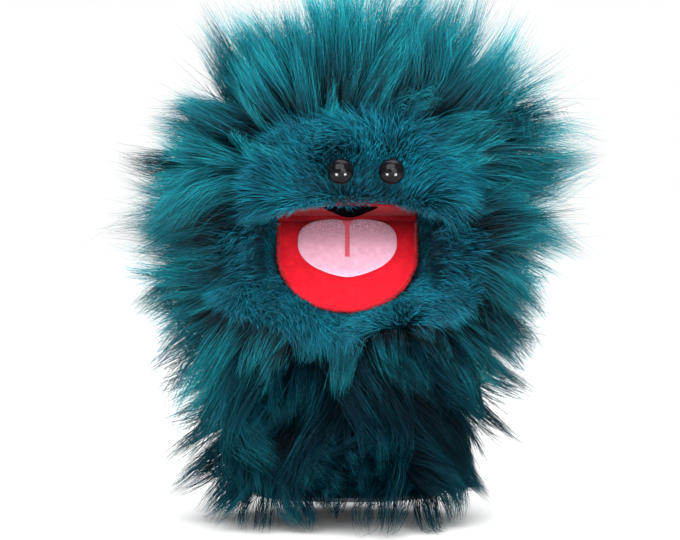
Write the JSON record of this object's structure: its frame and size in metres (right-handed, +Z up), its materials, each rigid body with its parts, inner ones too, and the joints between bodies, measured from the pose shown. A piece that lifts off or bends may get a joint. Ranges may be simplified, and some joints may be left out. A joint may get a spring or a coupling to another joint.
{
  "type": "moving mouth puppet",
  "caption": "Shaggy hand puppet with a moving mouth: furry head, hinged jaw, felt tongue, domed eyes and a lined sleeve for the hand.",
  "frame": {"origin": "middle of the puppet's outer box, on the plane that the sleeve's hem stands on", "axes": "+Z up the sleeve to the crown, -Y the way the face looks, +X across the mouth to the viewer's right"},
  "size_m": [0.285, 0.1865, 0.303],
  "materials": {
    "fur": "matte",
    "mouth_plush": "matte",
    "tongue_felt": "matte",
    "lining": "matte",
    "throat": "matte",
    "hem_binding": "matte",
    "board": "matte",
    "stuffing": "matte",
    "eye_plastic": "gloss",
    "washer_plastic": "satin"
  },
  "bodies": {
    "sleeve": {"sleeve_fur_front": "fur", "sleeve_fur_back": "fur", "sleeve_lining": "lining", "sleeve_hem_band": "hem_binding"},
    "palm": {"palm_fur": "fur", "palm_lining": "lining"},
    "upper_head": {"head_fur_front": "fur", "head_fur_back": "fur", "head_stuffing": "stuffing", "finger_pocket": "lining", "upper_mouth_board": "board", "upper_mouth_lining": "mouth_plush", "mouth_crease_tape": "throat", "eye_left": "eye_plastic", "eye_right": "eye_plastic", "eye_washer_left": "washer_plastic", "eye_washer_right": "washer_plastic"},
    "lower_jaw": {"jaw_fur": "fur", "jaw_stuffing": "stuffing", "thumb_pocket": "lining", "lower_mouth_board": "board", "lower_mouth_lining": "mouth_plush", "tongue": "tongue_felt"}
  },
  "joints": [
    {"name": "wrist_nod", "type": "hinge", "parent": "sleeve", "child": "palm", "pos_m": [0, 0.015, 0.065], "axis": [1, 0, 0], "range_deg": [-12, 14], "stiffness_Nm_per_rad": 3},
    {"name": "head_tip", "type": "hinge", "parent": "palm", "child": "upper_head", "pos_m": [0, 0, 0.175], "axis": [-1, 0, 0], "range_deg": [-8, 15], "stiffness_Nm_per_rad": 1.5},
    {"name": "jaw_open", "type": "hinge", "parent": "upper_head", "child": "lower_jaw", "pos_m": [0, 0, 0.175], "axis": [1, 0, 0], "range_deg": [-50, 10], "stiffness_Nm_per_rad": 1}
  ]
}
